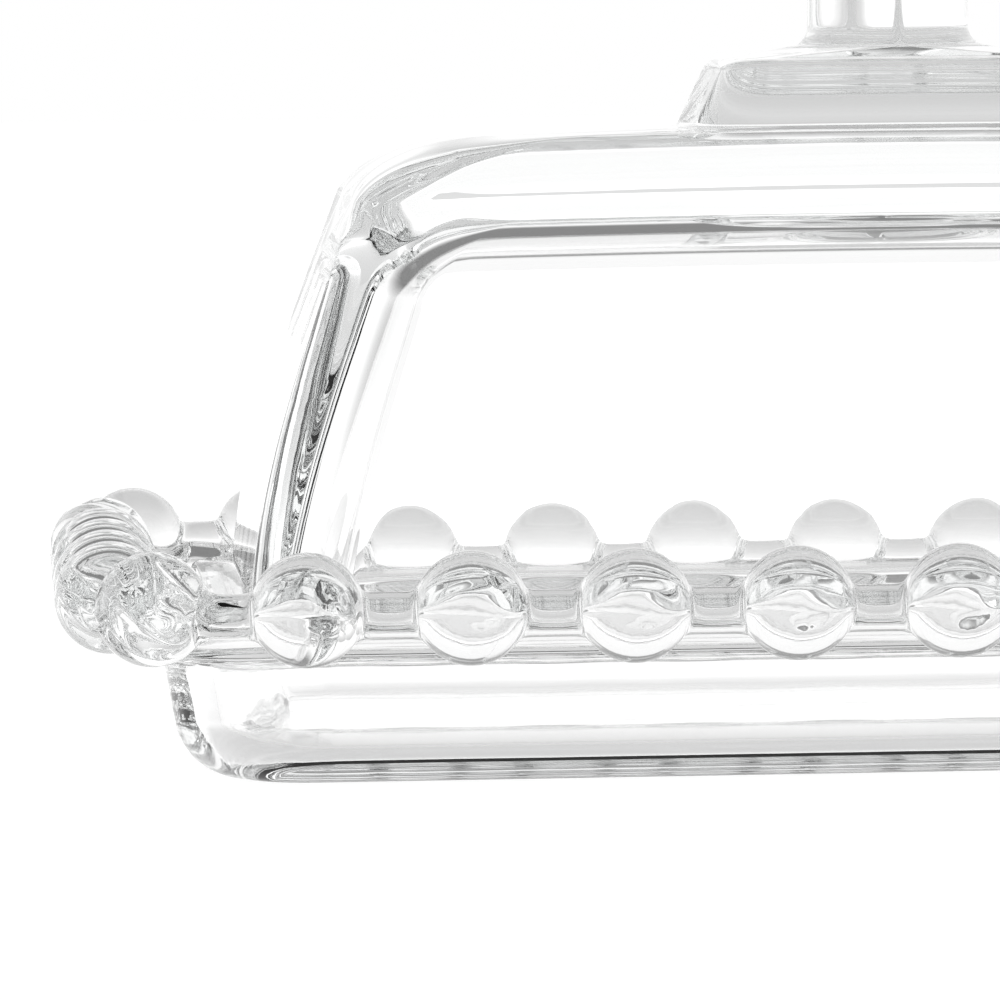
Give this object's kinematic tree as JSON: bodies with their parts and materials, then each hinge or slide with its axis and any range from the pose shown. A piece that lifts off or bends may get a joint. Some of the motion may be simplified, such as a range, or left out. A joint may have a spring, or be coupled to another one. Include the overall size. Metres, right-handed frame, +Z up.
{
  "type": "butter dish",
  "caption": "Rectangular clear glass butter dish: a deep tray with a beaded rim under a tapered lid with a stepped plinth and a ball knob.",
  "frame": {"origin": "on the table, under the middle of the tray's flat foot", "axes": "+X along the dish's length, +Y across it, +Z up, the way the lid lifts"},
  "size_m": [0.188, 0.12, 0.1064],
  "materials": {
    "clear_glass": "pressed and fire-polished, clear and colourless"
  },
  "bodies": {
    "tray": {"dish_base": "clear_glass"},
    "lid": {"dish_lid": "clear_glass"}
  },
  "joints": [
    {"name": "lid_lift", "type": "slide", "parent": "tray", "child": "lid", "axis": [0, 0, 1], "range_m": [0, 0.12]}
  ]
}
